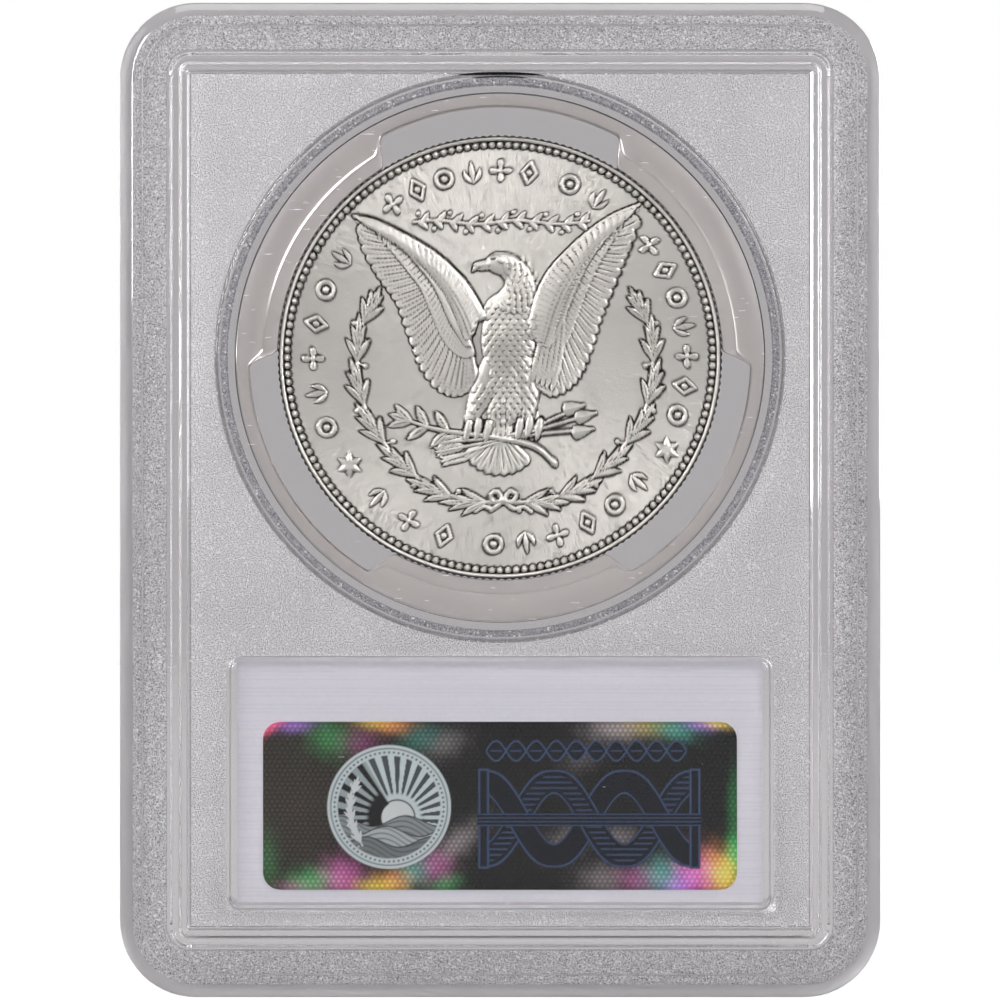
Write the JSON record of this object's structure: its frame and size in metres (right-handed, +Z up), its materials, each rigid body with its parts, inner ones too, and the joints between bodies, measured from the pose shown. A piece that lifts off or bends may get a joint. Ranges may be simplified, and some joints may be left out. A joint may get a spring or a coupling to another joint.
{
  "type": "graded coin slab",
  "caption": "Sealed clear slab that holds a silver-dollar-sized coin in a clear ring gasket, above a label with a foil security seal.",
  "frame": {"origin": "centre of the box's bottom face, where the slab stands on its short edge", "axes": "+Z up the slab, from the label to the coin; -Y out of the back, which shows the coin's reverse and the seal; +Y out of the front"},
  "size_m": [0.065, 0.008, 0.085],
  "materials": {
    "clear_shell": "clear polystyrene, moulded with a satin texture on the frames and fields, and polished at the border and both windows",
    "weld": "clear polystyrene, remelted",
    "gasket": "clear flexible plastic, smooth",
    "coin_silver": "struck silver, satin lustre with light wear on the high points",
    "label_card": "smooth coated card, printed on the front",
    "seal_foil": "dark diffractive foil on a plastic film, with rainbow patches"
  },
  "bodies": {
    "root": {"back_shell": "clear_shell", "front_shell": "clear_shell", "weld_bead": "weld", "coin_ring": "gasket", "coin": "coin_silver", "label": "label_card", "security_seal": "seal_foil"}
  },
  "joints": []
}
